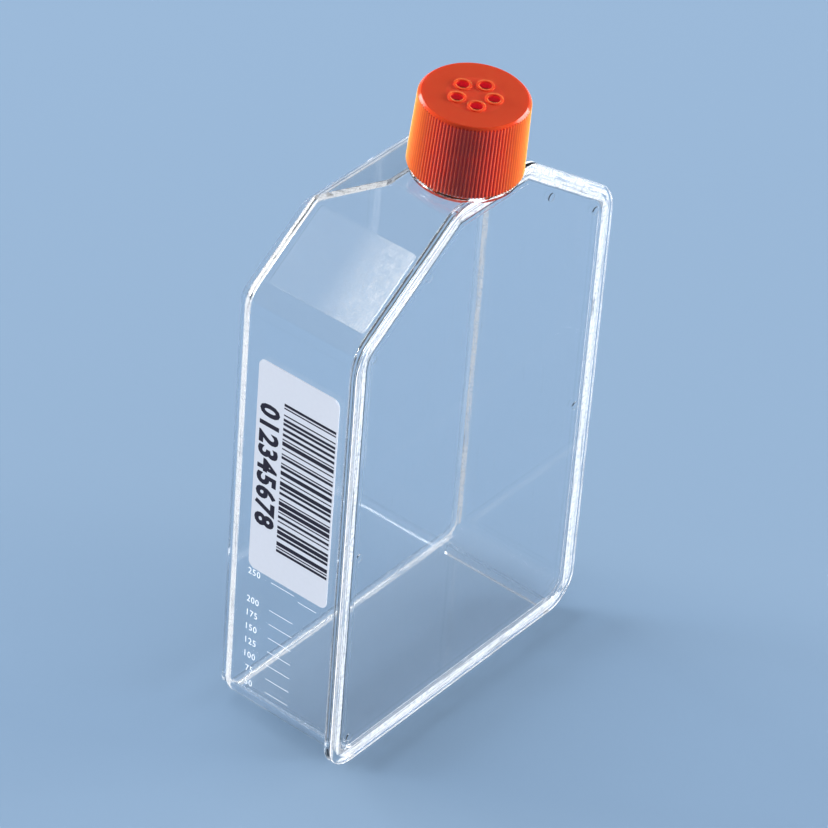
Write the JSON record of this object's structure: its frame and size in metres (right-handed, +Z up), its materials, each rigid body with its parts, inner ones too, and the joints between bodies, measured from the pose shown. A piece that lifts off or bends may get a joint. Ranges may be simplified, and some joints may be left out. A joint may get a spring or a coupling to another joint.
{
  "type": "cell culture flask",
  "caption": "Clear flat-sided cell culture flask with sloped shoulders, canted neck, vented screw cap, welded front plate and side label.",
  "frame": {"origin": "middle of the rim's underside, on the surface the flask stands on", "axes": "+Z up along the length to the cap, +Y through the thickness from the front plate to the growth wall, +X to the right seen from the front plate"},
  "size_m": [0.117, 0.0522, 0.2119],
  "materials": {
    "clear_plastic": "clear, glossy polystyrene",
    "cap_plastic": "satin orange polyethylene",
    "membrane": "matt white filter membrane",
    "label_paper": "smooth white self-adhesive label with black print"
  },
  "bodies": {
    "flask": {"flask_body": "clear_plastic", "front_plate": "clear_plastic", "barcode_label": "label_paper"},
    "lift": {"vent_membrane": "membrane"},
    "cap": {"vent_cap": "cap_plastic"}
  },
  "joints": [
    {"name": "cap_lift", "type": "slide", "parent": "flask", "child": "lift", "axis": [0, -0.061, 0.9981], "range_m": [0, 0.025]},
    {"name": "cap_turn", "type": "hinge", "parent": "lift", "child": "cap", "pos_m": [0, 0.011, 0.1818], "axis": [0, -0.061, 0.9981], "range_deg": [0, 1800]}
  ],
  "couplings": [
    {"joint": "cap_turn", "follows": "cap_lift", "rad_per_m": 1256.6}
  ]
}
